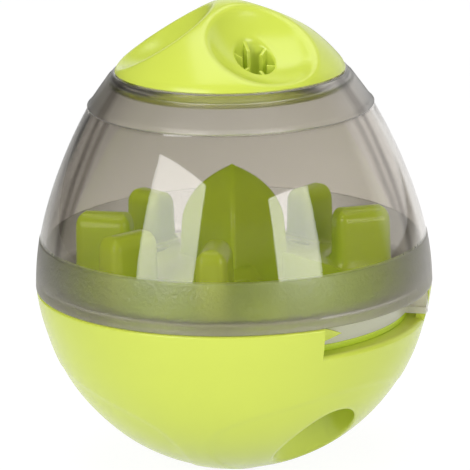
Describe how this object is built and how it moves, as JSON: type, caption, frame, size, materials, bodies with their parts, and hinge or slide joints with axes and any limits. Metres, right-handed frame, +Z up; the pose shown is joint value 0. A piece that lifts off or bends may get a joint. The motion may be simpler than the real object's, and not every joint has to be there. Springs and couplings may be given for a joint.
{
  "type": "wobble treat dispenser",
  "caption": "Weighted wobble treat dispenser for pets: lime bowl, smoky clear dome that twists to open an outlet in the rim, and a lift-out cap with finger dimples.",
  "frame": {"origin": "centre of the flat spot that the bowl rests on, on the floor", "axes": "+Z up along the object's round axis, -Y towards the picture's viewer, +X to the viewer's right"},
  "size_m": [0.1158, 0.1158, 0.1377],
  "materials": {
    "lime_plastic": "glossy injection-moulded ABS",
    "smoky_plastic": "smoky clear polycarbonate, frosted in two bands",
    "iron": "turned iron, oiled",
    "screw_steel": "zinc-plated steel"
  },
  "bodies": {
    "base": {"base_shell": "lime_plastic", "counterweight": "iron", "weight_screws": "screw_steel", "tray": "lime_plastic", "tray_screws": "screw_steel"},
    "dome": {"dome": "smoky_plastic"},
    "cap": {"top_cap": "lime_plastic", "cap_plug": "lime_plastic", "cap_screws": "screw_steel"}
  },
  "joints": [
    {"name": "dome_twist", "type": "hinge", "parent": "base", "child": "dome", "pos_m": [0, 0, 0.0535], "axis": [0, 0, 1], "range_deg": [-40, 0]},
    {"name": "cap_lift", "type": "slide", "parent": "dome", "child": "cap", "axis": [0, 0, 1], "range_m": [0, 0.03]}
  ]
}
